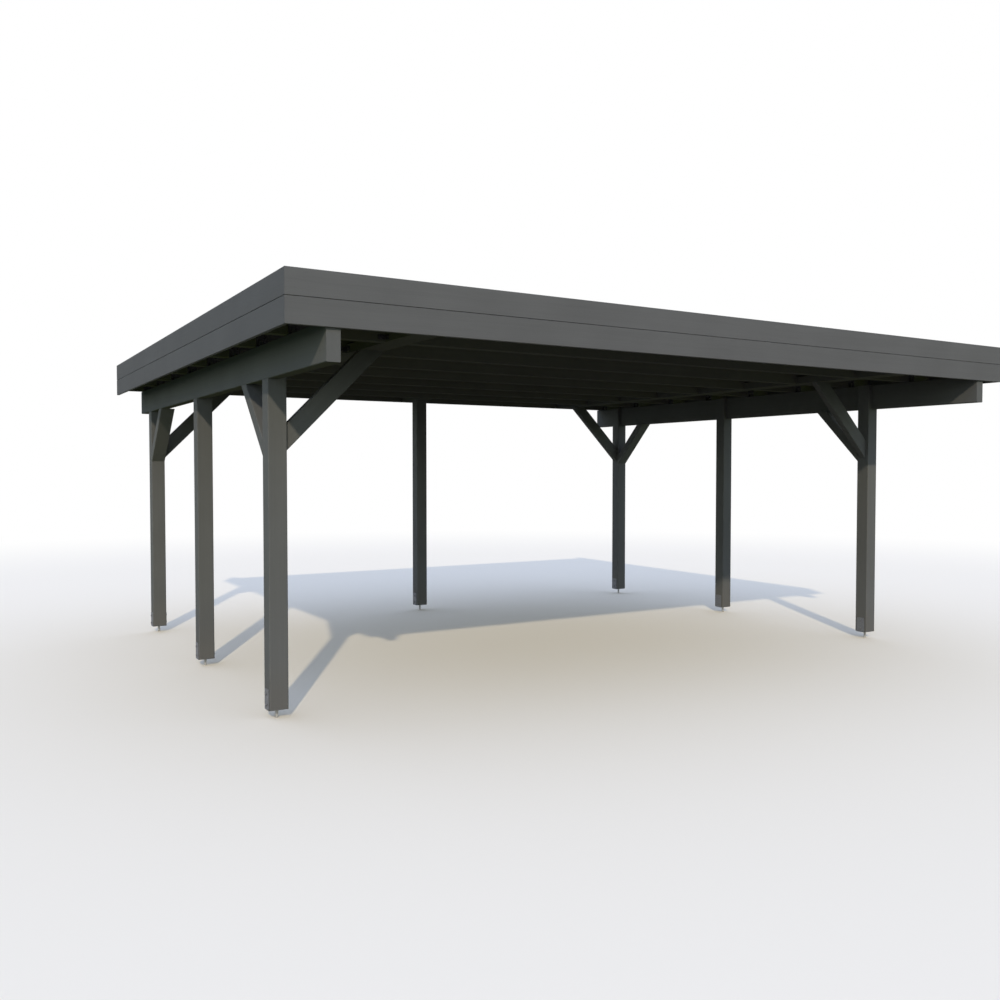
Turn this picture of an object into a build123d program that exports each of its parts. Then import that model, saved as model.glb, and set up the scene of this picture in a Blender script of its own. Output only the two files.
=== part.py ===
"""Flat-roofed double carport: seven timber posts on steel feet, two beams, nine rafters,
knee braces at the four corner posts, a two-board fascia on three sides and a boarded roof.

Millimetres. X runs left to right along the open front, Y from front to back, Z up from the ground.
"""

import os
from math import floor, radians, sin

from build123d import *

# Posts
post_side = 120.0
post_row_spacing = 5650.0
post_bay = 1873.0
post_top = 2140.0
post_edge_chamfer = 4.0

# Steel post feet
foot_ground_gap = 60.0
foot_plate = 5.0
foot_width = 80.0
foot_flange_height = 130.0
foot_bend_radius = 4.0
foot_corner_radius = 10.0
foot_rod_diameter = 20.0
foot_rod_chamfer = 2.0
foot_hole_diameter = 11.0
foot_hole_spacing = 70.0

# Beams
beam_width = 80.0
beam_depth = 220.0
beam_edge_chamfer = 4.0

# Rafters
rafter_width = 60.0
rafter_depth = 120.0
rafter_count = 9
rafter_back_setback = 50.0
rafter_edge_chamfer = 3.0

# Slotted steel brackets that hold the rafters down on the beams
bracket_steel = 3.0
bracket_width = 72.0
bracket_height = 80.0
bracket_foot = 45.0
bracket_bend_radius = 6.0
bracket_leg_width = 22.0
bracket_slot_height = 42.0

# Knee braces
brace_angle = 45.0
cross_brace_thickness = 60.0
cross_brace_depth = 120.0
cross_brace_drop = 455.0
beam_brace_depth = 80.0
beam_brace_drop = 482.0
brace_edge_chamfer = 4.0

# Blocks between the rafters: a row over each side's cross braces, and one over the back centre post
block_height = 60.0

# Fascia and roof
fascia_board_height = 145.0
fascia_board_thickness = 20.0
fascia_board_gap = 2.0
fascia_edge_chamfer = 2.0
fascia_below_rafters = 41.0
front_overhang = 1052.0
side_overhang = 230.0
back_overhang = 382.0
deck_thickness = 19.0
membrane_thickness = 3.0

# Roof outline, centred on the origin
roof_width = post_row_spacing + post_side + 2 * side_overhang
roof_depth = front_overhang + post_side + 2 * post_bay + back_overhang
roof_front = -roof_depth / 2
roof_back = roof_depth / 2
frame_width = roof_width - 2 * fascia_board_thickness
frame_front = roof_front + fascia_board_thickness
rafter_back_face = roof_back - rafter_back_setback

# Levels
rafter_bottom = post_top + beam_depth
deck_bottom = rafter_bottom + rafter_depth
deck_top = deck_bottom + deck_thickness
lower_board_bottom = rafter_bottom - fascia_below_rafters
upper_board_bottom = lower_board_bottom + fascia_board_height + fascia_board_gap

# Post rows
row_x = {"left": -post_row_spacing / 2, "right": post_row_spacing / 2}
inward = {"left": 1, "right": -1}
front_row_y = roof_front + front_overhang + post_side / 2
row_y = {
    "front": front_row_y,
    "middle": front_row_y + post_bay,
    "back": front_row_y + 2 * post_bay,
}
towards_middle = {"front": 1, "back": -1}
post_places = {
    f"{depth}_{side}": (row_x[side], row_y[depth]) for side in row_x for depth in row_y
}
post_places["back_centre"] = (0, row_y["back"])

# Level seats of the braces
cross_brace_seat = cross_brace_depth / sin(radians(brace_angle))
beam_brace_seat = beam_brace_depth / sin(radians(brace_angle))

# Rafter rows
first_rafter_y = frame_front + rafter_width / 2
last_rafter_y = rafter_back_face - rafter_width / 2
rafter_pitch = (last_rafter_y - first_rafter_y) / (rafter_count - 1)

os.makedirs("parts", exist_ok=True)


def bay_centre(y):
    """Middle of the bay between two rafters that the given place lies in."""
    bay = floor((y - first_rafter_y) / rafter_pitch)
    return first_rafter_y + bay * rafter_pitch + rafter_pitch / 2


def save(part, name):
    """Label one finished piece and write it as its own file."""
    part.label = name
    export_step(part, f"parts/{name}.step")


def make_post(name, x, y, top):
    """Square post with eased edges, from its foot up to what it carries."""
    with BuildPart() as post:
        with BuildSketch(Plane.XY.offset(foot_ground_gap)):
            with Locations((x, y)):
                Rectangle(post_side, post_side)
        extrude(amount=top - foot_ground_gap)
        chamfer(post.edges().filter_by(Axis.Z), post_edge_chamfer)
    save(post.part, f"{name}_post")


def make_foot(name, x, y):
    """Bent steel U that holds the post clear of the ground on a round rod."""
    seat = Plane(origin=(x, y, foot_ground_gap), x_dir=(1, 0, 0), z_dir=(0, -1, 0))
    hole_level = foot_ground_gap + foot_flange_height / 2
    flange_middle = Plane(origin=(x, y, hole_level), x_dir=(0, 1, 0), z_dir=(1, 0, 0))
    with BuildPart() as foot:
        # U profile round the post's end, sharp inside and bent outside
        with BuildSketch(seat):
            with Locations((0, foot_flange_height / 2 - foot_plate / 2)):
                Rectangle(post_side + 2 * foot_plate, foot_flange_height + foot_plate)
            with Locations((0, foot_flange_height / 2)):
                Rectangle(post_side, foot_flange_height, mode=Mode.SUBTRACT)
        extrude(amount=foot_width / 2, both=True)
        outer_bends = foot.edges().filter_by(Axis.Y).group_by(Axis.Z)[0]
        fillet(outer_bends, foot_bend_radius)
        flange_corners = foot.edges().filter_by(Axis.X).group_by(Axis.Z)[-1]
        fillet(flange_corners, foot_corner_radius)
        # Two screw holes through both flanges
        with BuildSketch(flange_middle):
            with GridLocations(0, foot_hole_spacing, 1, 2):
                Circle(foot_hole_diameter / 2)
        extrude(amount=post_side, both=True, mode=Mode.SUBTRACT)
        # Rod from the ground to the bent plate
        with BuildSketch(Plane.XY):
            with Locations((x, y)):
                Circle(foot_rod_diameter / 2)
        extrude(amount=foot_ground_gap - foot_plate)
        chamfer(foot.edges().group_by(Axis.Z)[0], foot_rod_chamfer)
    save(foot.part, f"{name}_foot")


def make_beam(side):
    """Beam along one post row, flush with the posts' outer faces."""
    outer_face = row_x[side] - inward[side] * post_side / 2
    with BuildPart() as beam:
        with BuildSketch(Plane.XZ.offset(-frame_front)):
            with Locations((outer_face + inward[side] * beam_width / 2, post_top + beam_depth / 2)):
                Rectangle(beam_width, beam_depth)
        extrude(amount=frame_front - roof_back)
        chamfer(beam.edges().filter_by(Axis.Y), beam_edge_chamfer)
    save(beam.part, f"{side}_beam")


def make_rafter(number):
    """Rafter across both beams, from side fascia to side fascia."""
    y = first_rafter_y + (number - 1) * rafter_pitch
    with BuildPart() as rafter:
        with BuildSketch(Plane.YZ):
            with Locations((y, rafter_bottom + rafter_depth / 2)):
                Rectangle(rafter_width, rafter_depth)
        extrude(amount=frame_width / 2, both=True)
        lower_edges = rafter.edges().filter_by(Axis.X).group_by(Axis.Z)[0]
        chamfer(lower_edges, rafter_edge_chamfer)
    save(rafter.part, f"rafter_{number}")


def make_rafter_brackets():
    """Bent brackets on both beams: before each rafter, and behind the first, which the fascia covers."""
    with BuildPart() as brackets:
        for side in row_x:
            beam_middle = row_x[side] - inward[side] * (post_side - beam_width) / 2
            # Strips bent up from the beam against the rafters' faces
            with BuildSketch(Plane.YZ.offset(beam_middle - bracket_width / 2)):
                for number in range(rafter_count):
                    facing = 1 if number == 0 else -1
                    face_y = first_rafter_y + number * rafter_pitch + facing * rafter_width / 2
                    with BuildLine():
                        FilletPolyline(
                            (face_y + facing * bracket_foot, rafter_bottom),
                            (face_y, rafter_bottom),
                            (face_y, rafter_bottom + bracket_height),
                            radius=bracket_bend_radius,
                        )
                        offset(amount=bracket_steel, side=Side.RIGHT if facing > 0 else Side.LEFT)
                    make_face()
            extrude(amount=bracket_width)
            # One slot up the middle of each leaves two legs
            with BuildSketch(Plane.XY.offset(rafter_bottom)):
                with Locations((beam_middle, 0)):
                    Rectangle(bracket_width - 2 * bracket_leg_width, roof_depth)
            extrude(amount=bracket_slot_height, mode=Mode.SUBTRACT)
    save(brackets.part, "rafter_brackets")


def brace_outline(drop, seat, rise):
    """Corners of a sloping brace: plumb seat at the post, level seat at its top."""
    return [
        (0, -drop),
        (drop + rise, rise),
        (drop + rise - seat, rise),
        (0, seat - drop),
    ]


def make_cross_brace(depth, side):
    """Brace from a corner post up to the block between two rafters."""
    face_x = row_x[side] + inward[side] * post_side / 2
    at_post = Plane(
        origin=(face_x, row_y[depth], post_top),
        x_dir=(inward[side], 0, 0),
        z_dir=(0, -inward[side], 0),
    )
    with BuildPart() as brace:
        with BuildSketch(at_post):
            Polygon(*brace_outline(cross_brace_drop, cross_brace_seat, beam_depth), align=None)
        extrude(amount=cross_brace_thickness / 2, both=True)
        long_edges = brace.edges().sort_by(SortBy.LENGTH)[-4:]
        chamfer(long_edges, brace_edge_chamfer)
    save(brace.part, f"{depth}_{side}_cross_brace")


def make_beam_brace(depth, side):
    """Brace from a corner post up to the underside of its beam."""
    face_y = row_y[depth] + towards_middle[depth] * post_side / 2
    at_post = Plane(
        origin=(row_x[side], face_y, post_top),
        x_dir=(0, towards_middle[depth], 0),
        z_dir=(towards_middle[depth], 0, 0),
    )
    with BuildPart() as brace:
        with BuildSketch(at_post):
            Polygon(*brace_outline(beam_brace_drop, beam_brace_seat, 0), align=None)
        extrude(amount=post_side / 2, both=True)
        long_edges = brace.edges().sort_by(SortBy.LENGTH)[-4:]
        chamfer(long_edges, brace_edge_chamfer)
    save(brace.part, f"{depth}_{side}_beam_brace")


def make_brace_blocks(side):
    """Row of blocks between the rafters over one side's cross braces, level with the rafters' undersides."""
    seat_far_end = post_side / 2 + cross_brace_drop + beam_depth
    block_x = row_x[side] + inward[side] * (seat_far_end - cross_brace_seat / 2)
    middle_y = (first_rafter_y + last_rafter_y) / 2
    with BuildPart() as blocks:
        with BuildSketch(Plane.XY.offset(rafter_bottom)):
            with Locations((block_x, middle_y)):
                with GridLocations(0, rafter_pitch, 1, rafter_count - 1):
                    Rectangle(cross_brace_seat, rafter_pitch - rafter_width)
        extrude(amount=block_height)
    save(blocks.part, f"{side}_brace_blocks")


def make_centre_block():
    """Block between two rafters that rests on the back centre post."""
    with BuildPart() as block:
        with BuildSketch(Plane.XY.offset(rafter_bottom)):
            with Locations((0, bay_centre(row_y["back"]))):
                Rectangle(post_side, rafter_pitch - rafter_width)
        extrude(amount=block_height)
    save(block.part, "back_centre_block")


def make_front_board(name, bottom):
    """Front fascia board with mitred ends."""
    half_out = roof_width / 2
    half_in = frame_width / 2
    with BuildPart() as board:
        with BuildSketch(Plane.XY.offset(bottom)):
            Polygon(
                (-half_out, roof_front),
                (half_out, roof_front),
                (half_in, frame_front),
                (-half_in, frame_front),
                align=None,
            )
        extrude(amount=fascia_board_height)
        front_edges = board.edges().filter_by(Axis.X).group_by(Axis.Y)[0]
        chamfer(front_edges, fascia_edge_chamfer)
    save(board.part, f"front_{name}_fascia")


def make_side_board(side, name, bottom):
    """Side fascia board, mitred to the front board and cut square at the back."""
    out = -inward[side] * roof_width / 2
    inner = -inward[side] * frame_width / 2
    with BuildPart() as board:
        with BuildSketch(Plane.XY.offset(bottom)):
            with BuildLine():
                Polyline(
                    (out, roof_front),
                    (out, roof_back),
                    (inner, roof_back),
                    (inner, frame_front),
                    close=True,
                )
            make_face()
        extrude(amount=fascia_board_height)
        outer_edges = board.edges().filter_by(Axis.Y).sort_by(lambda edge: abs(edge.center().X))[-2:]
        chamfer(outer_edges, fascia_edge_chamfer)
    save(board.part, f"{side}_{name}_fascia")


def make_eaves_board():
    """Single board on the last rafter, from the beams' tops up to the roof boards' tops."""
    with BuildPart() as board:
        with BuildSketch(Plane.XY.offset(rafter_bottom)):
            with Locations((0, rafter_back_face + fascia_board_thickness / 2)):
                Rectangle(frame_width, fascia_board_thickness)
        extrude(amount=deck_top - rafter_bottom)
        back_lower_edge = board.edges().filter_by(Axis.X).group_by(Axis.Y)[-1].sort_by(Axis.Z)[0]
        chamfer(back_lower_edge, fascia_edge_chamfer)
    save(board.part, "back_eaves_board")


def make_roof_layer(name, bottom, thickness, back):
    """Flat layer inside the fascia, from the front board to the given back edge."""
    with BuildPart() as layer:
        with BuildSketch(Plane.XY.offset(bottom)):
            with Locations((0, (frame_front + back) / 2)):
                Rectangle(frame_width, back - frame_front)
        extrude(amount=thickness)
    save(layer.part, name)


for place, (post_x, post_y) in post_places.items():
    carried_level = rafter_bottom if place == "back_centre" else post_top
    make_post(place, post_x, post_y, carried_level)
    make_foot(place, post_x, post_y)

make_centre_block()

for side in row_x:
    make_beam(side)
    make_brace_blocks(side)
    for depth in towards_middle:
        make_cross_brace(depth, side)
        make_beam_brace(depth, side)

for number in range(1, rafter_count + 1):
    make_rafter(number)
make_rafter_brackets()

for name, bottom in (("lower", lower_board_bottom), ("upper", upper_board_bottom)):
    make_front_board(name, bottom)
    for side in row_x:
        make_side_board(side, name, bottom)

make_eaves_board()
make_roof_layer("roof_deck", deck_bottom, deck_thickness, rafter_back_face)
make_roof_layer(
    "roof_membrane", deck_top, membrane_thickness, rafter_back_face + fascia_board_thickness
)
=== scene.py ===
# %% [markdown]
# # A slate grey double carport
#
# Seven square posts stand on steel feet. Six of them carry two long beams with rafters across, knee braces
# stiffen the corners, and two boards close the roof's edge on the front and both sides. The solids come
# from the CAD frame, at their real size. This lesson gives each of them its finish and adds the finer
# pieces: cheeks beside the beams, bolts, screws and small angles, grooved roof boards, and the rubber and
# metal along the roof's edge.

# %% Load the frame
from math import cos, pi, radians, sin, tan

import bmesh
import bpy
from mathutils import Matrix, Vector


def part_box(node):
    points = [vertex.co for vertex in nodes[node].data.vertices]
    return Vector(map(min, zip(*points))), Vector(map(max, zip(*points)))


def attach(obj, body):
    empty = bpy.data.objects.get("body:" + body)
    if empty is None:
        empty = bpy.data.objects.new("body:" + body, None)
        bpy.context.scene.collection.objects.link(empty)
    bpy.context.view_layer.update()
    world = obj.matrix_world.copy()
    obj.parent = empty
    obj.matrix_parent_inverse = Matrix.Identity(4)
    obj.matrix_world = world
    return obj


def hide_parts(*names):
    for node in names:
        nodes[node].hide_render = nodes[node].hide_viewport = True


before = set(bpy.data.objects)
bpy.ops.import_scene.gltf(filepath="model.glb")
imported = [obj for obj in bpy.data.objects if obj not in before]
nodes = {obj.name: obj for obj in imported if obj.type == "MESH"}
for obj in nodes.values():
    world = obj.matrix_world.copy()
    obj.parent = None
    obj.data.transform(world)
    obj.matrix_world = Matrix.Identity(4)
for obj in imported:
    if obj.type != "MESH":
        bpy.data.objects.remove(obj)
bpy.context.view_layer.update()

# %% [markdown]
# ## Shader sums as Python
#
# A finish such as painted timber is mostly arithmetic on a few patterns. Wiring dozens of Math nodes by
# hand hides that arithmetic. One small class wraps a socket, so that a sum in Python adds the nodes, and
# its node method makes every other kind of node.


# %% A socket that can be reckoned with
class Field:
    """A socket whose sums and products add Math nodes to the same material."""

    def __init__(self, tree, socket=None):
        self.tree = tree
        self.socket = socket

    def node(self, kind, settings=None, sockets=None, out=0):
        """Any node: its settings come first, then the values or links of its sockets."""
        made = self.tree.nodes.new(kind)
        for name, value in (settings or {}).items():
            setattr(made, name, value)
        for name, value in (sockets or {}).items():
            if isinstance(value, Field):
                self.tree.links.new(value.socket, made.inputs[name])
            else:
                made.inputs[name].default_value = value
        return Field(self.tree, made.outputs[out])

    def math(self, operation, first, second=0.0):
        return self.node("ShaderNodeMath", {"operation": operation}, {0: first, 1: second})

    def __add__(self, other):
        return self.math("ADD", self, other)

    def __sub__(self, other):
        return self.math("SUBTRACT", self, other)

    def __rsub__(self, other):
        return self.math("SUBTRACT", other, self)

    def __mul__(self, other):
        return self.math("MULTIPLY", self, other)

    def __truediv__(self, other):
        return self.math("DIVIDE", self, other)

    def __pow__(self, other):
        return self.math("POWER", self, other)

    def __abs__(self):
        return self.math("ABSOLUTE", self)

    __radd__ = __add__
    __rmul__ = __mul__


print("A Field also takes numbers on its left:", [name for name in vars(Field) if name.startswith("__r")])

# %% Small helpers for colours, masks and coordinates
MIX_FACTOR, MIX_FIRST, MIX_SECOND, MIX_COLOUR = 0, 6, 7, 2


def grey(value):
    return (value, value, value, 1.0)


def shade(field, first, second):
    """Colour that goes from the first to the second as the field goes from 0 to 1."""
    sockets = {MIX_FACTOR: field, MIX_FIRST: first, MIX_SECOND: second}
    return field.node("ShaderNodeMix", {"data_type": "RGBA"}, sockets, out=MIX_COLOUR)


def fade(field, start, end):
    """Smooth mask: 0 at the start value and 1 at the end value."""
    return field.node(
        "ShaderNodeMapRange",
        {"interpolation_type": "SMOOTHSTEP"},
        {"Value": field, "From Min": start, "From Max": end},
    )


def join(x, y, z):
    """Vector from three fields."""
    known = next(part for part in (x, y, z) if isinstance(part, Field))
    return known.node("ShaderNodeCombineXYZ", None, {"X": x, "Y": y, "Z": z})


def dot(vector, direction):
    sockets = {0: vector, 1: tuple(direction)}
    return vector.node("ShaderNodeVectorMath", {"operation": "DOT_PRODUCT"}, sockets, out="Value")


def noise(vector, scale=1.0, detail=2.0, roughness=0.5):
    sockets = {"Vector": vector, "Scale": scale, "Detail": detail, "Roughness": roughness}
    return vector.node("ShaderNodeTexNoise", None, sockets, out="Fac")


def cells(vector, scale=1.0, out="Distance"):
    return vector.node("ShaderNodeTexVoronoi", None, {"Vector": vector, "Scale": scale}, out)


def new_finish(name):
    """Empty material: its Principled shader and a Field to start its patterns from."""
    material = bpy.data.materials.new(name)
    material.use_nodes = True
    shader = material.node_tree.nodes["Principled BSDF"]
    return material, shader, Field(material.node_tree)


def feed(shader, socket, field):
    field.tree.links.new(field.socket, shader.inputs[socket])


def feed_bump(shader, height, distance, strength):
    """Relief in metres on the shader's normal."""
    sockets = {"Strength": strength, "Distance": distance, "Height": height}
    feed(shader, "Normal", height.node("ShaderNodeBump", None, sockets, out="Normal"))


print("Helpers for masks, noise and relief are ready")

# %% [markdown]
# ## The camera
#
# The picture was taken a little below eye height, off the front left corner. Two sets of parallel lines,
# the fascia and the beams, fix where it stood and its lens, and the posts fix the scale. The numbers are
# kept as a place, a heading and a pitch, the way a tripod would be set up.

# %% Set up the camera
camera_place = Vector((-4.636, -7.3565, 1.565))
camera_heading = radians(-30.75)
camera_pitch = radians(88.233)
camera_lens = 33.84
camera_sensor = 36.0

camera = bpy.data.objects.new("camera", bpy.data.cameras.new("camera"))
camera.location = camera_place
camera.rotation_euler = (camera_pitch, 0.0, camera_heading)
camera.data.lens = camera_lens
camera.data.sensor_width = camera_sensor
camera.data.sensor_fit = "HORIZONTAL"
bpy.context.scene.collection.objects.link(camera)
bpy.context.scene.camera = camera
bpy.context.scene.view_settings.view_transform = "Standard"
print("Camera", round(camera_place.length, 2), "m from the middle of the floor")

# %% [markdown]
# ## Daylight and a pale floor
#
# A low sun from the front left lights the fascia and draws the roof's shadow across the posts. The sky
# fills the rest, brightest near the horizon, where its light reaches in under the roof. The backdrop is
# white only to the camera and in reflections. The floor looks pale and fades into that white, but it
# sends back as little light as open ground does, with a green verge along both sides that tints the
# timber under the eaves. A floor that sent back all its light would make the roof far too bright below.

# %% Sky, sun and floor
sun_travel = Vector((0.83, 1.5, -1.0))
sun_strength = 1.84
sun_spread = radians(1.2)
sun_colour = (1.0, 0.885, 0.67)
sky_horizon = (1.21, 1.35, 1.20, 1.0)
sky_zenith = (0.67, 0.81, 1.17, 1.0)
horizon_rise = 0.08
zenith_rise = 0.50
floor_radius = 90.0
floor_sides = 64
floor_seen = (0.866, 0.79, 0.665, 1.0)
floor_fade_start, floor_fade_end = 8.0, 17.0
ground_bounce = (0.128, 0.110, 0.095, 1.0)
side_bounce = (0.070, 0.098, 0.115, 1.0)
verge_bounce = (0.200, 0.235, 0.020, 1.0)
verge_start, verge_end = 3.2, 3.6
side_start, side_end = 5.0, 6.0
along_x, along_y, along_z = (1, 0, 0), (0, 1, 0), (0, 0, 1)


def seen_directly(start):
    """1 for rays from the camera and for reflections, 0 for light that bounces."""
    rays = ("Is Camera Ray", "Is Glossy Ray", "Is Transmission Ray")
    camera_ray, glossy_ray, clear_ray = (start.node("ShaderNodeLightPath", out=ray) for ray in rays)
    return start.math("MAXIMUM", camera_ray, start.math("MAXIMUM", glossy_ray, clear_ray))


world = bpy.data.worlds.new("daylight")
bpy.context.scene.world = world
world.use_nodes = True
sky = Field(world.node_tree)
climb = fade(dot(sky.node("ShaderNodeTexCoord", out="Generated"), along_z), horizon_rise, zenith_rise)
daylight = shade(climb, sky_horizon, sky_zenith)
feed(world.node_tree.nodes["Background"], "Color", shade(seen_directly(sky), daylight, grey(1.0)))

sun = bpy.data.objects.new("sun", bpy.data.lights.new("sun", "SUN"))
sun.data.energy = sun_strength
sun.data.angle = sun_spread
sun.data.color = sun_colour
sun.rotation_euler = sun_travel.to_track_quat("-Z", "Y").to_euler()
bpy.context.scene.collection.objects.link(sun)

floor_finish, floor_shader, floor_start = new_finish("pale_floor")
floor_place = floor_start.node("ShaderNodeTexCoord", out="Object")
sideways = abs(dot(floor_place, along_x))
near_bounce = shade(fade(sideways, verge_start, verge_end), ground_bounce, verge_bounce)
floor_bounce = shade(fade(sideways, side_start, side_end), near_bounce, side_bounce)
seen = seen_directly(floor_start)
feed(floor_shader, "Base Color", shade(seen, floor_bounce, floor_seen))
floor_shader.inputs["Roughness"].default_value = 1.0
floor_shader.inputs["Specular IOR Level"].default_value = 0.0

from_middle = floor_start.node(
    "ShaderNodeVectorMath", {"operation": "LENGTH"}, {0: floor_place}, out="Value"
)
far_out = fade(from_middle, floor_fade_start, floor_fade_end) * seen
white = floor_start.node("ShaderNodeEmission", None, {"Color": grey(1.0)})
near_and_far = {0: far_out, 1: Field(floor_start.tree, floor_shader.outputs[0]), 2: white}
floor_surface = floor_start.node("ShaderNodeMixShader", None, near_and_far)
feed(floor_start.tree.nodes["Material Output"], "Surface", floor_surface)

floor_mesh = bmesh.new()
bmesh.ops.create_circle(floor_mesh, cap_ends=True, segments=floor_sides, radius=floor_radius)
floor_data = bpy.data.meshes.new("floor")
floor_mesh.to_mesh(floor_data)
floor_mesh.free()
floor_data.materials.append(floor_finish)
floor = bpy.data.objects.new("floor", floor_data)
bpy.context.scene.collection.objects.link(floor)
print("Sun at", sun_strength, "and sky from", sky_horizon[1], "down to", sky_zenith[1])

# %% [markdown]
# ## Painted timber
#
# The frame is planed softwood under a matte slate grey paint. Close up, the growth rings and fibres still
# show as a faint relief, the brush leaves streaks along the grain, and the sharp edges are painted
# lighter, for paint rubbed thin there and as a painted highlight. The pattern is worked out in metres from
# the middle of each piece, along its own grain, so a post has upright grain and a brace has sloping grain.
# Every piece gets its own heart and tone by chance.

# %% Grain of one piece
ring_width = 0.0045
fibre_width = 0.0035
grain_relief = 0.0006
heart_aside = 0.14
heart_near, heart_far = 0.03, 0.09
heart_sway, heart_bob = 0.05, 0.03


def across(grain):
    """The grain's direction and the two directions across it."""
    along = Vector(grain).normalized()
    first = along.cross(Vector(along_y if abs(along.y) < 0.5 else along_x)).normalized()
    return along, first, along.cross(first)


def grain_places(start, size, grain, middle=(0.0, 0.0, 0.0)):
    """Metres from the section's middle: along the grain, and across it both ways."""
    generated = start.node("ShaderNodeTexCoord", out="Generated")
    centre = tuple(0.5 + offset / side for offset, side in zip(middle, size))
    centred = start.node("ShaderNodeVectorMath", {"operation": "SUBTRACT"}, {0: generated, 1: centre})
    metres = start.node("ShaderNodeVectorMath", {"operation": "MULTIPLY"}, {0: centred, 1: tuple(size)})
    return [dot(metres, axis) for axis in across(grain)]


def growth_rings(along, first, second, chance):
    """Saw-tooth of the growth rings round a heart that wanders along the piece."""
    wander = noise(join(along * 0.7 + chance * 31.0, chance * 17.0, 0.0)) - 0.5
    from_heart_1 = first - (chance - 0.5) * heart_aside + wander * heart_sway
    from_heart_2 = second + heart_near + chance * heart_far - wander * heart_bob
    radius = (from_heart_1 * from_heart_1 + from_heart_2 * from_heart_2) ** 0.5
    uneven = noise(join(along * 1.5, first * 14.0, second * 14.0), detail=3.0)
    return radius.math("FRACT", radius / ring_width + uneven * 1.8 + chance * 9.0)


print("Rings every", ring_width * 1000, "mm")

# %% Slate grey paint
paint_dark = (0.099, 0.099, 0.099, 1.0)
paint_light = (0.146, 0.146, 0.146, 1.0)
# The fascia tones are lit and shaded copies of one paint: the front ones paler as painted sunlight, the
# side ones darker and bluer as painted shade.
front_lit_dark, front_lit_light = (0.094, 0.093, 0.095, 1.0), (0.138, 0.137, 0.140, 1.0)
side_shaded_dark, side_shaded_light = (0.083, 0.084, 0.087, 1.0), (0.123, 0.124, 0.129, 1.0)
# The arris colour below is lighter: paint rubbed thin, and a painted highlight along the edges.
paint_worn = (0.205, 0.200, 0.188, 1.0)
paint_end = (0.108, 0.108, 0.108, 1.0)
splash_colour = (0.150, 0.130, 0.105, 1.0)
splash_height, splash_foot, splash_ragged = 0.35, 0.02, 0.16
wear_highlight_width, wear_highlight_core, wear_highlight_ragged = 0.0045, 0.0005, 0.012


def painted_timber(
    name,
    size,
    grain,
    section,
    middle=(0.0, 0.0, 0.0),
    tones=(paint_dark, paint_light),
    worn=0.25,
    splashed=False,
    gloss=0.03,
):
    """Paint on a piece of the given box, with its section's two sides across the grain."""
    material, shader, start = new_finish(name)
    along, first, second = grain_places(start, size, grain, middle)
    chance = start.node("ShaderNodeObjectInfo", out="Random")
    here = join(along + chance * 23.0, first, second)

    rings = growth_rings(along, first, second, chance)
    fibre = noise(join(along * 7.0, first / fibre_width, second / fibre_width), detail=3.0)
    brush = noise(join(along * 0.9 + chance * 11.0, first * 38.0, second * 38.0), detail=3.0)
    cloud = noise(here, scale=1.7, detail=3.0)
    knot = fade(cells(join(along * 1.9 + chance * 13.0, first * 5.0, second * 5.0)), 0.10, 0.05)

    tone = 0.5 + (cloud - 0.5) * 0.7 + (brush - 0.5) * 0.4 + (fibre - 0.5) * 0.2 + (rings - 0.5) * 0.08
    tone = tone + (chance - 0.5) * 0.2 - knot * 0.2
    colour = shade(tone, *tones)

    # Arrises, where both distances to the sides are small, are painted lighter: paint rubbed thin, and a
    # painted highlight
    to_side_1 = section[0] / 2 - abs(first)
    to_side_2 = section[1] / 2 - abs(second)
    from_arris = start.math("MAXIMUM", to_side_1, to_side_2)
    ragged = (noise(here, scale=26.0, detail=4.0) - 0.5) * wear_highlight_ragged
    wear_and_highlight = fade(from_arris + ragged, wear_highlight_width, wear_highlight_core)
    colour = shade(wear_and_highlight * worn, colour, paint_worn)

    # Cut ends drink more paint and show their rings
    facing = start.node("ShaderNodeNewGeometry", out="Normal")
    cut_end = fade(abs(dot(facing, Vector(grain).normalized())), 0.75, 0.95)
    colour = shade(cut_end * (0.35 + rings * 0.45), colour, paint_end)

    if splashed:
        uneven = (noise(here, scale=9.0, detail=4.0) - 0.5) * splash_ragged
        height = along + size.z / 2 + uneven
        colour = shade(fade(height, splash_height, splash_foot) * 0.22, colour, splash_colour)

    feed(shader, "Base Color", colour)
    feed(shader, "Roughness", 0.76 + (brush - 0.5) * 0.16 + (fibre - 0.5) * 0.12 - wear_and_highlight * 0.08)
    shader.inputs["Specular IOR Level"].default_value = gloss
    relief = rings * 0.25 + fibre * 0.55 + brush * 0.35 + knot * 0.5
    feed_bump(shader, relief, distance=grain_relief, strength=0.55)
    return material


print("Paint runs from", paint_dark[:3], "to", paint_light[:3])

# %% [markdown]
# ## Which way each piece's grain runs
#
# Timber is sawn lengthways, so the grain follows the longest side. One finish serves all pieces of the
# same kind, and the chance value makes each of them a different stick. The fascia boards are newer and
# crisper than the frame, so their arrises get no lighter paint. The front boards are painted paler, as
# painted sunlight, and the side boards darker and bluer, as painted shade.

# %% Paint the timber
def box_size(node):
    low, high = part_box(node)
    return high - low


def dress(material, *names):
    """Give CAD pieces their finish."""
    for name in names:
        mesh = nodes[name].data
        mesh.materials.clear()
        mesh.materials.append(material)
    print(material.name, "on", len(names), "pieces")


def named(start="", end=""):
    return [name for name in sorted(nodes) if name.startswith(start) and name.endswith(end)]


def paint_kind(kind, grain, names, **options):
    """Paint pieces of one size whose grain follows an axis of the frame."""
    size = box_size(names[0])
    section = [abs(size.dot(axis)) for axis in across(grain)[1:]]
    dress(painted_timber(f"painted_{kind}", size, grain, section, **options), *names)


rafter_count = 9
rafters = [f"rafter_{number}" for number in range(1, rafter_count + 1)]
row_posts = [name for name in named(end="_post") if name != "back_centre_post"]
front_boards = named(start="front_", end="_fascia")
side_boards = [name for name in named(end="_fascia") if name not in front_boards]

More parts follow.
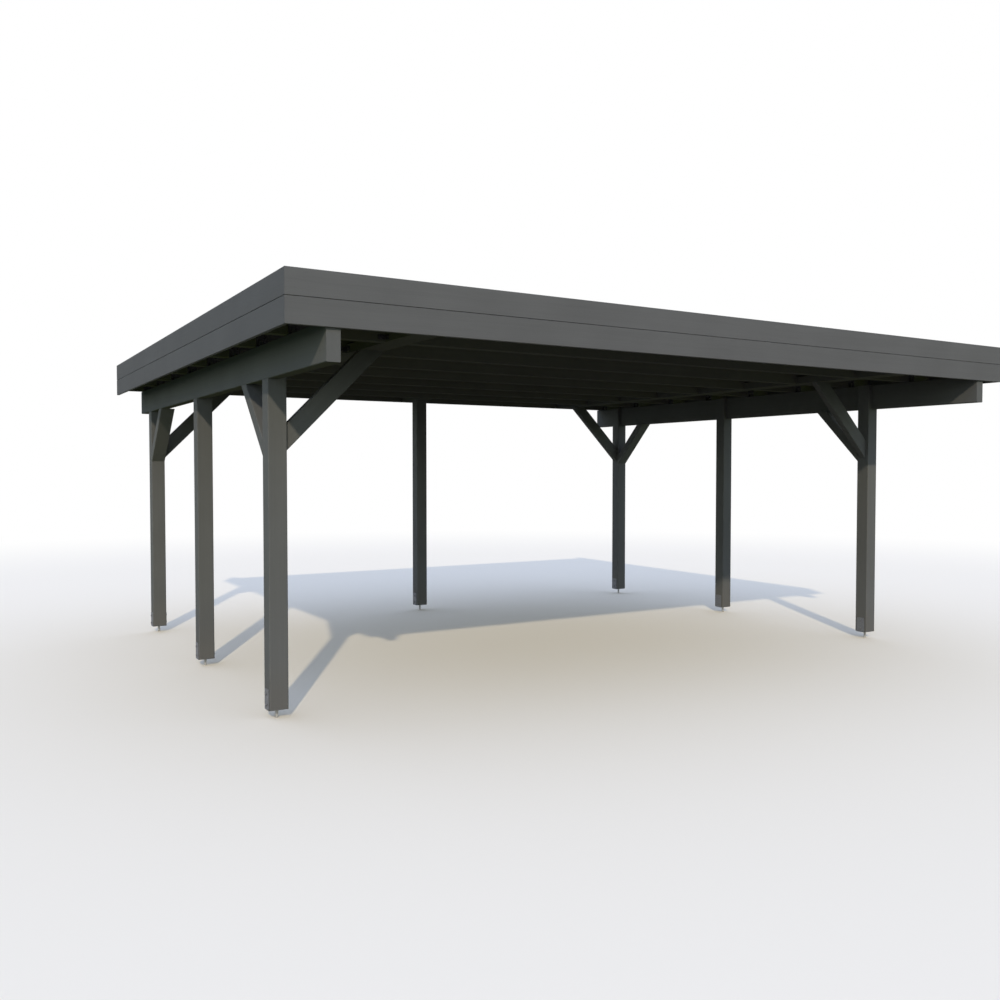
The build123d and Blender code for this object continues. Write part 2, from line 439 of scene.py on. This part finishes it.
paint_kind("post", along_z, row_posts, splashed=True)
paint_kind("centre_post", along_z, ["back_centre_post"], splashed=True)
paint_kind("beam", along_y, named(end="_beam"), gloss=0.0)
paint_kind("rafter", along_x, rafters, gloss=0.0)
paint_kind("block_row", along_y, named(end="_brace_blocks"), gloss=0.0)
paint_kind("centre_block", along_y, ["back_centre_block"], gloss=0.0)
# Front boards in the paler tones as painted sunlight, side boards in the darker, bluer tones as painted
# shade.
paint_kind("front_board_lit", along_x, front_boards, tones=(front_lit_dark, front_lit_light), worn=0.0)
paint_kind("side_board_shaded", along_y, side_boards, tones=(side_shaded_dark, side_shaded_light), worn=0.0)
paint_kind("eaves_board", along_x, ["back_eaves_board"])

# %% [markdown]
# ## Braces
#
# A knee brace rises from its post at 45 degrees, so its grain slopes too. Its box is a square with the
# lower face as its diagonal, and the timber lies above that diagonal. The section's middle is therefore
# half a depth up from the box's middle, square to the slope.

# %% Paint the braces
cross_brace_depth = 0.120
beam_brace_depth = 0.080


def paint_braces(kind, uphill, names, depth):
    """Paint braces that rise along the level direction given, away from their post."""
    size = box_size(names[0])
    slope = Vector(uphill) + Vector(along_z)
    square_to_slope = (Vector(along_z) - Vector(uphill)).normalized()
    thickness = min(size)
    axes = across(slope)[1:]
    section = [depth if abs(axis.z) > 0.5 else thickness for axis in axes]
    middle = square_to_slope * (depth / 2)
    dress(painted_timber(f"painted_{kind}", size, slope, section, middle), *names)


for side, inward in (("left", 1), ("right", -1)):
    names = [f"{row}_{side}_cross_brace" for row in ("front", "back")]
    paint_braces(f"{side}_cross_brace", (inward, 0, 0), names, cross_brace_depth)
for row, inward in (("front", 1), ("back", -1)):
    names = [f"{row}_{side}_beam_brace" for side in ("left", "right")]
    paint_braces(f"{row}_beam_brace", (0, inward, 0), names, beam_brace_depth)

# %% [markdown]
# ## Metals
#
# The feet and their bolts are hot-dip galvanised. Zinc freezes in flat crystals a few millimetres across,
# each a little lighter or darker and a little more or less shiny, and Voronoi cells give that spangle.
# The flanges have weathered dull, while the rods, sheltered under the plates, are still bright.
# The brackets under the roof are coated black, with a fine orange-peel skin, and the coat is near black so
# that it also stands in as painted shade where the rafters cross the beams. The braces' screws and the
# drip edge at the back are brushed over with the timber's paint. The roof's clamping bar is bare rolled
# aluminium with faint lines along it.

# %% Zinc, black steel, painted steel and aluminium
zinc_dark = (0.12, 0.125, 0.14, 1.0)
zinc_light = (0.22, 0.225, 0.245, 1.0)
zinc_clean = (0.46, 0.45, 0.43, 1.0)
clean_top, clean_start = 0.046, 0.058
# The coat is near black: a black coating, and painted shade in the dark corners where the brackets sit
# over the beams.
black_coat_and_shade = (0.010, 0.010, 0.011, 1.0)
black_scuffed = (0.030, 0.030, 0.031, 1.0)
trim_dark = (0.26, 0.265, 0.275, 1.0)
trim_light = (0.38, 0.385, 0.395, 1.0)


def galvanised(name):
    material, shader, start = new_finish(name)
    place = start.node("ShaderNodeTexCoord", out="Object")
    crystal = start.node("ShaderNodeSeparateColor", None, {"Color": cells(place, 130.0, out="Color")})
    dull = noise(place, scale=14.0, detail=4.0)
    weathered = shade(crystal * 0.6 + dull * 0.5 - 0.05, zinc_dark, zinc_light)
    clean = fade(dot(place, along_z), clean_start, clean_top) * (0.7 + dull * 0.4)
    feed(shader, "Base Color", shade(clean, weathered, zinc_clean))
    feed(shader, "Roughness", 0.48 + crystal * 0.14 + dull * 0.16)
    shader.inputs["Metallic"].default_value = 0.4
    feed_bump(shader, crystal * 0.4 + noise(place, scale=320.0) * 0.6, distance=0.0003, strength=0.35)
    return material


# Near-black coat with scuffs: a black coating, and partly painted shade where the brackets sit.
def black_steel(name):
    material, shader, start = new_finish(name)
    place = start.node("ShaderNodeTexCoord", out="Object")
    peel = noise(place, scale=600.0, detail=2.0)
    scuff = fade(noise(place, scale=40.0, detail=5.0, roughness=0.65), 0.56, 0.72)
    feed(shader, "Base Color", shade(scuff, black_coat_and_shade, black_scuffed))
    feed(shader, "Roughness", 0.5 + scuff * 0.15 + (peel - 0.5) * 0.1)
    shader.inputs["Specular IOR Level"].default_value = 0.3
    feed_bump(shader, peel, distance=0.0002, strength=0.4)
    return material


def rolled_aluminium(name, along):
    material, shader, start = new_finish(name)
    place = start.node("ShaderNodeTexCoord", out="Object")
    stretch = tuple(2.0 if axis else 400.0 for axis in along)
    drawn_out = start.node("ShaderNodeVectorMath", {"operation": "MULTIPLY"}, {0: place, 1: stretch})
    lines = noise(drawn_out, detail=3.0)
    dull = noise(place, scale=3.0, detail=4.0)
    feed(shader, "Base Color", shade(lines * 0.5 + dull * 0.5, trim_dark, trim_light))
    feed(shader, "Roughness", 0.42 + dull * 0.2 + (lines - 0.5) * 0.1)
    shader.inputs["Metallic"].default_value = 0.6
    feed_bump(shader, lines, distance=0.0001, strength=0.3)
    return material


def brushed_over(name):
    material, shader, start = new_finish(name)
    place = start.node("ShaderNodeTexCoord", out="Object")
    cover = noise(place, scale=30.0, detail=4.0)
    feed(shader, "Base Color", shade(cover, paint_dark, paint_light))
    feed(shader, "Roughness", 0.6 + (cover - 0.5) * 0.3)
    shader.inputs["Specular IOR Level"].default_value = 0.1
    feed_bump(shader, cover, distance=0.0003, strength=0.4)
    return material


zinc = galvanised("galvanised_steel")
black_and_shade_steel = black_steel("black_steel_and_painted_shade")
overpainted = brushed_over("slate_brushed_over")
dress(zinc, *named(end="_foot"))
dress(black_and_shade_steel, "rafter_brackets")

# %% [markdown]
# ## Small parts from outlines and turned profiles
#
# Fasteners and brackets repeat many times. Each kind is made once, as a flat outline with some thickness
# or as a turned profile, and then copied to every place in one joined mesh. Modelling them keeps their
# shape in the exported mesh, which bump would not.

# %% Tools for small parts
sharp_angle = radians(35.0)


def prism(mesh, outline, low, high):
    """Closed plate over a flat outline, between two heights."""
    rings = [[mesh.verts.new((x, y, z)) for x, y in outline] for z in (low, high)]
    for ring in rings:
        mesh.faces.new(ring)
    for i, start in enumerate(rings[0]):
        mesh.faces.new((rings[0][i - 1], start, rings[1][i], rings[1][i - 1]))


def turned(mesh, profile, steps):
    """Closed solid from (radius, height) points, turned about the upright axis in flat steps."""
    angles = [2 * pi * step / steps for step in range(steps)]
    rings = [[mesh.verts.new((r * cos(a), r * sin(a), z)) for a in angles] for r, z in profile]
    mesh.faces.new(rings[0])
    mesh.faces.new(rings[-1])
    for low, high in zip(rings, rings[1:]):
        for i in range(steps):
            mesh.faces.new((low[i - 1], low[i], high[i], high[i - 1]))


def rounded(corners, radius, steps=4):
    """The outline through these corners with every corner replaced by an arc."""
    outline = []
    for i, corner in enumerate(corners):
        here = Vector(corner)
        back = (Vector(corners[i - 1]) - here).normalized()
        on = (Vector(corners[(i + 1) % len(corners)]) - here).normalized()
        half = back.angle(on) / 2
        centre = here + (back + on).normalized() * (radius / sin(half))
        first = here + back * (radius / tan(half)) - centre
        last = here + on * (radius / tan(half)) - centre
        outline += [tuple(centre + first.slerp(last, step / steps) * radius) for step in range(steps + 1)]
    return outline


def stand(origin, x_axis, y_axis):
    """Matrix that lays a part's own x and y along the given directions at an origin."""
    x, y = Vector(x_axis).normalized(), Vector(y_axis).normalized()
    turn = Matrix((x, y, x.cross(y))).transposed().to_4x4()
    return Matrix.Translation(Vector(origin)) @ turn


def stamp(pattern, places):
    """One mesh with a copy of the pattern at every place."""
    data = bpy.data.meshes.new("pattern")
    pattern.to_mesh(data)
    pattern.free()
    copies = bmesh.new()
    for place in places:
        before = len(copies.verts)
        copies.from_mesh(data)
        copies.verts.ensure_lookup_table()
        bmesh.ops.transform(copies, matrix=place, verts=copies.verts[before:])
    bpy.data.meshes.remove(data)
    return copies


def add_piece(name, mesh, material):
    """Turn a mesh into a piece of the carport, smooth except at its sharp edges."""
    bmesh.ops.recalc_face_normals(mesh, faces=mesh.faces)
    data = bpy.data.meshes.new(name)
    mesh.to_mesh(data)
    mesh.free()
    data.materials.append(material)
    data.shade_smooth()
    data.set_sharp_from_angle(angle=sharp_angle)
    piece = bpy.data.objects.new(name, data)
    bpy.context.scene.collection.objects.link(piece)
    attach(piece, "root")
    print(name, "has", len(data.polygons), "faces")
    return piece


print("Tools for plates, turned parts and copies are ready")

# %% [markdown]
# ## Cheeks beside the beams
#
# The posts of both rows are notched for their beam. The outer part of a post ends under the beam, and its
# inner part runs on up beside it as a cheek. A flat outline with two eased corners, raised from the post's
# top to the beam's top, gives each cheek, in the same paint and upright grain as the posts.

# %% Post cheeks
cheek_ease = 0.004
post_size, beam_size = box_size("front_left_post"), box_size("left_beam")
cheek_size = Vector((post_size.x - beam_size.x, post_size.y, beam_size.z))
cheek_paint = painted_timber("painted_cheek", cheek_size, along_z, cheek_size.xy)


def cheek_outline(beam_face, inner_face, front, back):
    """Outline from above: flat against the beam, with the two free corners eased."""
    ease = cheek_ease if inner_face < beam_face else -cheek_ease
    return [
        (beam_face, front),
        (inner_face + ease, front),
        (inner_face, front + cheek_ease),
        (inner_face, back - cheek_ease),
        (inner_face + ease, back),
        (beam_face, back),
    ]


for side in ("left", "right"):
    beam_low, beam_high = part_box(f"{side}_beam")
    for row in ("front", "middle", "back"):
        low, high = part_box(f"{row}_{side}_post")
        faces = (beam_high.x, high.x) if side == "left" else (beam_low.x, low.x)
        cheek = bmesh.new()
        prism(cheek, cheek_outline(*faces, low.y, high.y), high.z, beam_high.z)
        add_piece(f"{row}_{side}_cheek", cheek, cheek_paint)

# %% [markdown]
# ## Bolts in the feet
#
# Two bolts go through each flange of a steel foot into the post. A hexagon is a turned profile of six
# steps, and the washer under it is one of many steps. The places follow the feet's own boxes.

# %% Foot bolts
bolt_across_corners = 0.0196
bolt_sides = 6
bolt_head = 0.0065
bolt_corner = 0.0012
washer_radius = 0.011
washer_thickness = 0.002
washer_sides = 20
bolt_spacing = 0.070
bolt_above_plate = 0.065
foot_rise = 0.060


def bolt_pattern():
    """Hexagon head on its washer, standing on the plane it is screwed to."""
    mesh = bmesh.new()
    radius = bolt_across_corners / 2
    ease = washer_thickness / 4
    washer = [
        (washer_radius, 0.0),
        (washer_radius, washer_thickness - ease),
        (washer_radius - ease, washer_thickness),
    ]
    top = washer_thickness + bolt_head
    head = [(radius, washer_thickness), (radius, top - bolt_corner), (radius - bolt_corner, top)]
    turned(mesh, washer, washer_sides)
    turned(mesh, head, bolt_sides)
    return mesh


def foot_bolt_places():
    for name in named(end="_foot"):
        low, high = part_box(name)
        middle_y = (low.y + high.y) / 2
        for face_x, outward in ((low.x, -1), (high.x, 1)):
            for step in (-0.5, 0.5):
                spot = (face_x, middle_y, foot_rise + bolt_above_plate + step * bolt_spacing)
                yield stand(spot, (0, outward, 0), along_z)


add_piece("foot_bolts", stamp(bolt_pattern(), foot_bolt_places()), zinc)

# %% [markdown]
# ## Angles at the blocks
#
# Rows of blocks lie between the rafters, and the cross braces end under them. A small folded angle sits
# in the corner at both ends of every block, on the side towards the beam. It is cut from flat steel and
# then folded, and the mesh is made the same way: a flat plate is cut at the fold lines, and the part
# below them is rolled round the bend.

# %% Fold a flat plate
fold_steps = 5


def fold(mesh, inner_radius, thickness):
    """Roll what lies below y = 0 of a flat plate forward by a right angle, and seat it on y = 0."""
    outer_radius = inner_radius + thickness
    neutral_radius = inner_radius + thickness / 2
    arc = neutral_radius * pi / 2
    for step in range(fold_steps + 1):
        level = (0.0, -arc * step / fold_steps, 0.0)
        everything = mesh.verts[:] + mesh.edges[:] + mesh.faces[:]
        bmesh.ops.bisect_plane(mesh, geom=everything, dist=1e-6, plane_co=level, plane_no=(0, 1, 0))
    for vert in mesh.verts:
        below = max(-vert.co.y, 0.0)
        turn = min(below, arc) / neutral_radius
        reach = outer_radius - vert.co.z
        height = max(vert.co.y, 0.0) + outer_radius - reach * sin(turn)
        forward = outer_radius - reach * cos(turn) + max(below - arc, 0.0)
        vert.co = (vert.co.x, height, forward)


print("A fold is rolled in", fold_steps, "steps")

# %% Block angles
angle_steel = 0.0025
angle_width = 0.030
angle_leg = 0.050
angle_corner = 0.004
angle_bend = 0.003
block_rows = {"left_brace_blocks": -1, "right_brace_blocks": 1}


def angle_pattern():
    """Folded angle with one leg up the plane z = 0 and the other forward on the plane y = 0."""
    half = angle_width / 2
    corners = [(-half, -angle_leg), (half, -angle_leg), (half, angle_leg), (-half, angle_leg)]
    mesh = bmesh.new()
    prism(mesh, rounded(corners, angle_corner), 0.0, angle_steel)
    fold(mesh, angle_bend, angle_steel)
    return mesh


def angle_places():
    for name, outward in block_rows.items():
        low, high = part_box(name)
        face_x = low.x if outward < 0 else high.x
        level = (low.z + high.z) / 2
        boxes = [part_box(rafter) for rafter in rafters]
        for (_, front), (behind, _) in zip(boxes, boxes[1:]):
            yield stand((face_x, front.y, level), (0, 0, outward), (outward, 0, 0))
            yield stand((face_x, behind.y, level), (0, 0, -outward), (outward, 0, 0))


block_angle_places = list(angle_places())
add_piece("block_angles", stamp(angle_pattern(), block_angle_places), black_and_shade_steel)

# %% [markdown]
# ## Screws
#
# Every bracket and angle has screws with small domed heads, and the braces are pulled to their posts with
# wide disc heads, drawn in until they hardly stand proud. Both are turned profiles with a recess for the
# driver in the middle.

# %% Screw patterns
small_head = 0.0062
disc_head = 0.0115
screw_sides = 16
dome_shares = [(1.0, 0.0), (0.97, 0.16), (0.80, 0.34), (0.52, 0.44), (0.40, 0.44), (0.34, 0.20)]


def screw_pattern(radius):
    """Domed head with a driver recess, standing on the plane z = 0."""
    mesh = bmesh.new()
    turned(mesh, [(radius * out, radius * up) for out, up in dome_shares], screw_sides)
    return mesh


print("Screw heads have radii of", small_head * 1000, "and", disc_head * 1000, "mm")

# %% Bracket and angle screws
bracket_steel = 0.003
bracket_half = 0.025
bracket_screw_level = 0.061
bracket_screw_reach = 0.030
angle_screw_aside = angle_width / 4
angle_screw_reach = angle_leg * 0.6


def bracket_places():
    """Each rafter bracket's bend: on the rafter's front face, or behind the first rafter."""
    for beam in named(end="_beam"):
        beam_low, beam_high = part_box(beam)
        middle_x = (beam_low.x + beam_high.x) / 2
        for name in rafters:
            low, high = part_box(name)
            face_y, facing = (high.y, -1) if name == rafters[0] else (low.y, 1)
            yield stand((middle_x, face_y, beam_high.z), (facing, 0, 0), along_z)


def screws_on(places, spots, steel):
    """Screw places on the outer faces of parts: on the upright leg, and on the folded leg."""
    lying = stand((0, 0, 0), along_x, (0, 0, -1))
    for place in places:
        for x, y in spots["upright"]:
            yield place @ Matrix.Translation((x, y, steel))
        for x, out in spots["folded"]:
            yield place @ Matrix.Translation((x, steel, out)) @ lying


def screw_pair(aside, reach):
    """Two spots on a leg, one each side of its middle line."""
    return [(-aside, reach), (aside, reach)]


bracket_spots = {
    "upright": screw_pair(bracket_half, bracket_screw_level),
    "folded": screw_pair(bracket_half, bracket_screw_reach),
}
angle_spots = {
    "upright": screw_pair(angle_screw_aside, angle_screw_reach),
    "folded": screw_pair(angle_screw_aside, angle_screw_reach),
}
small_places = list(screws_on(bracket_places(), bracket_spots, bracket_steel))
small_places += screws_on(block_angle_places, angle_spots, angle_steel)
add_piece("bracket_screws", stamp(screw_pattern(small_head), small_places), black_and_shade_steel)

# %% Brace screws
screw_from_toe = 0.095
screw_sunk = 0.0035


def brace_screw_places():
    """Two disc heads near each end of a brace, square to its sloping lower face and drawn into it."""
    for name in named(end="_brace"):
        low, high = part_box(name)
        row, side, kind = name.split("_")[:3]
        if kind == "cross":
            uphill = Vector((1, 0, 0) if side == "left" else (-1, 0, 0))
        else:
            uphill = Vector((0, 1, 0) if row == "front" else (0, -1, 0))
        sideways = uphill.cross(Vector(along_z))
        slope = (uphill + Vector(along_z)).normalized()
        points_down = sideways.cross(slope).z < 0
        axes = (sideways, slope) if points_down else (slope, sideways)
        into_timber = (Vector(along_z) - uphill).normalized()
        middle = (low + high) / 2 + into_timber * screw_sunk
        thickness = min(high - low)
        half_slope = (high.z - low.z) * 2 ** 0.5 / 2
        for end in (-1, 1):
            for step in (-0.25, 0.25):
                spot = middle + slope * end * (half_slope - screw_from_toe) + sideways * step * thickness
                yield stand(spot, *axes)


brace_screws = stamp(screw_pattern(disc_head), brace_screw_places())
add_piece("brace_screws", brace_screws, overpainted)

# %% [markdown]
# ## Roof boards
#
# From below, the roof is a floor of tongued boards nailed across the rafters, with a V-shaped groove at
# every joint. They are unpainted, with the greenish straw colour of pressure-treated softwood. The boards
# replace the plain deck of the frame. One outline gives a board, and a loop lays them side by side.

# %% Treated softwood
treated_light = (0.33, 0.29, 0.15, 1.0)
treated_dark = (0.21, 0.175, 0.075, 1.0)
treated_knot = (0.10, 0.062, 0.028, 1.0)
board_count = 51
deck_low, deck_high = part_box("roof_deck")
deck_size = deck_high - deck_low
board_pitch = deck_size.x / board_count


def treated_softwood(name):
    """Unpainted boards side by side, each with its own heart, tone and knots."""
    material, shader, start = new_finish(name)
    along, first, second = grain_places(start, deck_size, along_y)
    from_edge = (second + deck_size.x / 2) / board_pitch
    number = start.math("FLOOR", from_edge)
    chance = start.node("ShaderNodeTexWhiteNoise", {"noise_dimensions": "1D"}, {"W": number}, out="Value")
    side = (from_edge - number - 0.5) * board_pitch
    rings = growth_rings(along, side, first, chance)
    fibre = noise(join(along * 6.0 + number, side / fibre_width, first / fibre_width), detail=3.0)
    cloud = noise(join(along * 0.6 + number * 3.7, side * 6.0, first), detail=3.0)
    knot = fade(cells(join(along * 1.6 + number * 5.3, side * 7.0, number * 2.1)), 0.13, 0.06)
    tone = 0.5 + (cloud - 0.5) * 0.8 + (chance - 0.5) * 0.7 + (fibre - 0.5) * 0.35 - (rings - 0.4) * 0.45
    colour = shade(knot * 0.85, shade(tone, treated_dark, treated_light), treated_knot)
    feed(shader, "Base Color", colour)
    feed(shader, "Roughness", 0.72 + (fibre - 0.5) * 0.2 - knot * 0.12)
    shader.inputs["Specular IOR Level"].default_value = 0.2
    feed_bump(shader, rings * 0.4 + fibre * 0.5 - knot * 0.3, distance=grain_relief, strength=0.5)
    return material


softwood = treated_softwood("treated_softwood")
print(board_count, "boards of", round(board_pitch * 1000), "mm")

# %% Lay the boards
groove = 0.0045
joint = 0.0006


def board_pattern():
    """One board along y from its front end, with its lower arrises planed off."""
    half = board_pitch / 2 - joint
    section = [
        (-half, groove),
        (groove - half, 0.0),
        (half - groove, 0.0),
        (half, groove),
        (half, deck_size.z),
        (-half, deck_size.z),
    ]
    mesh = bmesh.new()
    prism(mesh, section, -deck_size.y, 0.0)
    return mesh


board_places = [
    stand((deck_low.x + (number + 0.5) * board_pitch, deck_low.y, deck_low.z), along_x, along_z)
    for number in range(board_count)
]
roof_boards = add_piece("roof_boards", stamp(board_pattern(), board_places), softwood)
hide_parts("roof_deck")

# %% [markdown]
# ## The rubber sheet
#
# A black rubber sheet covers the boards. It is welded from strips with a lap between them, and it turns
# up against the inside of the fascia, where a clamping bar holds its edge. The upturned edge and the bar
# have one section each, carried round the three closed sides with mitred corners.

# %% Rubber
rubber_dark = (0.016, 0.016, 0.017, 1.0)
rubber_dusty = (0.044, 0.043, 0.041, 1.0)
lap_dark = (0.009, 0.009, 0.010, 1.0)
lap_dusty = (0.020, 0.020, 0.020, 1.0)


def roof_rubber(name, clean, dusty):
    """Rubber with blown dust, and faint tide lines where puddles dried."""
    material, shader, start = new_finish(name)
    place = start.node("ShaderNodeTexCoord", out="Object")
    puddle = noise(place, scale=0.8, detail=2.0, roughness=0.4)
    speckle = noise(place, scale=90.0, detail=3.0)
    blown = noise(place, scale=5.0, detail=5.0, roughness=0.6)
    tide = fade(abs(puddle - 0.55), 0.020, 0.0) + fade(abs(puddle - 0.47), 0.012, 0.0) * 0.5
    dust = fade(puddle, 0.38, 0.70) * 0.45 + (blown - 0.5) * 0.4 + (speckle - 0.5) * 0.5
    grime = dust + tide * blown * 0.3
    feed(shader, "Base Color", shade(grime, clean, dusty))
    feed(shader, "Roughness", 0.78 + (puddle - 0.5) * 0.2)
    shader.inputs["Specular IOR Level"].default_value = 0.12
    feed_bump(shader, speckle * 0.3 + noise(place, scale=3.0) * 0.7, distance=0.004, strength=0.3)
    return material


rubber = roof_rubber("roof_rubber", rubber_dark, rubber_dusty)
lap_rubber = roof_rubber("lap_rubber", lap_dark, lap_dusty)
dress(rubber, "roof_membrane")

# %% Carry a section round the three closed sides
sheet_low, sheet_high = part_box("roof_membrane")
sheet_top = sheet_high.z
roof_corners = (
    (sheet_low.x, sheet_high.y, 1, 0),
    (sheet_low.x, sheet_low.y, 1, 1),
    (sheet_high.x, sheet_low.y, -1, 1),
    (sheet_high.x, sheet_high.y, -1, 0),
)


def carry_round(section):
    """Solid along the roof's edge, from (distance from the fascia, height over the sheet) points."""
    mesh = bmesh.new()
    rings = [
        [mesh.verts.new((x + across_x * d, y + across_y * d, sheet_top + h)) for d, h in section]
        for x, y, across_x, across_y in roof_corners
    ]
    mesh.faces.new(rings[0])
    mesh.faces.new(rings[-1])
    for near, far in zip(rings, rings[1:]):
        for i in range(len(section)):
            mesh.faces.new((near[i - 1], near[i], far[i], far[i - 1]))
    return mesh


print("The roof's edge turns at", len(roof_corners) - 2, "corners")

# %% Upturned edge of the sheet
upstand_height = 0.090
upstand_foot = 0.075
upstand_sheet = 0.002
cove_radius = 0.018
cove_steps = 6

cove_centre = upstand_sheet + cove_radius
cove = [
    (cove_centre - cove_radius * cos(angle), cove_centre - cove_radius * sin(angle))
    for angle in (pi / 2 * step / cove_steps for step in range(cove_steps + 1))
]
upstand_section = [(0.0, 0.0), (0.0, upstand_height), (upstand_sheet, upstand_height)]
upstand_section += cove + [(upstand_foot, upstand_sheet), (upstand_foot, 0.0)]
add_piece("roof_upstand", carry_round(upstand_section), rubber)

# %% Laps between the strips
lap_width = 0.080
lap_height = 0.0030
lap_edge = 0.008
strip_count = 4


def lap_pattern():
    """Raised band across the roof, with its edges rolled down."""
    half = lap_width / 2
    section = [
        (-half, 0.0),
        (half, 0.0),
        (half - lap_edge, lap_height),
        (lap_edge - half, lap_height),
    ]
    length = sheet_high.x - sheet_low.x - 2 * upstand_foot
    mesh = bmesh.new()
    prism(mesh, section, -length / 2, length / 2)
    return mesh


strip = (sheet_high.y - sheet_low.y) / strip_count
lap_places = [
    stand((0, sheet_low.y + strip * number, sheet_top), along_y, along_z)
    for number in range(1, strip_count)
]
add_piece("roof_laps", stamp(lap_pattern(), lap_places), lap_rubber)

# %% [markdown]
# ## The joint between the fascia boards
#
# The two fascia boards lie one over the other with a narrow joint, which draws a dark line round the
# roof. On the real boards a tongue fills the back of that joint, so no daylight comes through. It has the
# joint's height, lies behind a groove, and goes round the same three sides.

# %% Fascia tongue
tongue_depth = 0.010
joint_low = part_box("front_lower_fascia")[1].z - sheet_top
joint_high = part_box("front_upper_fascia")[0].z - sheet_top
tongue_ease = (joint_high - joint_low) / 4
tongue_section = [
    (0.0, joint_low),
    (0.0, joint_high),
    (tongue_ease - tongue_depth, joint_high),
    (-tongue_depth, joint_high - tongue_ease),
    (-tongue_depth, joint_low + tongue_ease),
    (tongue_ease - tongue_depth, joint_low),
]
add_piece("fascia_tongue", carry_round(tongue_section), overpainted)

# %% [markdown]
# ## Metal at the roof's edge
#
# The clamping bar is a flat aluminium strip with a screw every 300 mm or so. At the open back, where the
# rain runs off, a folded drip edge covers the sheet's end and stands off the eaves board at its foot. It
# is painted like the timber.

# %% Clamping bar
bar_low = 0.058
bar_high = 0.084
bar_thickness = 0.003
bar_ease = 0.0008
bar_screw_pitch = 0.30

bar_metal = rolled_aluminium("rolled_aluminium", along_y)
bar_back = upstand_sheet
bar_front = upstand_sheet + bar_thickness
bar_section = [
    (bar_back, bar_low),
    (bar_back, bar_high),
    (bar_front - bar_ease, bar_high),
    (bar_front, bar_high - bar_ease),
    (bar_front, bar_low + bar_ease),
    (bar_front - bar_ease, bar_low),
]
add_piece("clamping_bar", carry_round(bar_section), bar_metal)


def bar_screw_places():
    """A row of screws along the bar on each of the three sides."""
    level = sheet_top + (bar_low + bar_high) / 2
    for start, end in zip(roof_corners, roof_corners[1:]):
        first, last = Vector((start[0], start[1], level)), Vector((end[0], end[1], level))
        along = (last - first).normalized()
        to_middle = Vector(along_z).cross(along)
        count = round((last - first).length / bar_screw_pitch)
        for number in range(count):
            spot = first.lerp(last, (number + 0.5) / count) + to_middle * bar_front
            yield stand(spot, Vector(along_z).cross(to_middle), along_z)


add_piece("bar_screws", stamp(screw_pattern(small_head), bar_screw_places()), zinc)

# %% Drip edge
drip_cover = 0.070
drip_drop = 0.060
drip_kick = 0.012
drip_sheet = 0.0015

drip_outer = [
    (-drip_cover, drip_sheet),
    (drip_sheet, drip_sheet),
    (drip_sheet, -drip_drop),
    (drip_kick + drip_sheet, -drip_drop - drip_kick),
]
drip_inner = [
    (drip_kick, -drip_drop - drip_kick),
    (0.0, -drip_drop),
    (0.0, 0.0),
    (-drip_cover, 0.0),
]
drip_mesh = bmesh.new()
half_width = (sheet_high.x - sheet_low.x) / 2
prism(drip_mesh, drip_outer + drip_inner, -half_width, half_width)
drip_place = stand((0, sheet_high.y, sheet_top), along_y, along_z)
add_piece("drip_edge", stamp(drip_mesh, [drip_place]), overpainted)

# %% [markdown]
# ## Sizes
#
# The finishes and the added pieces leave every CAD part at its size.
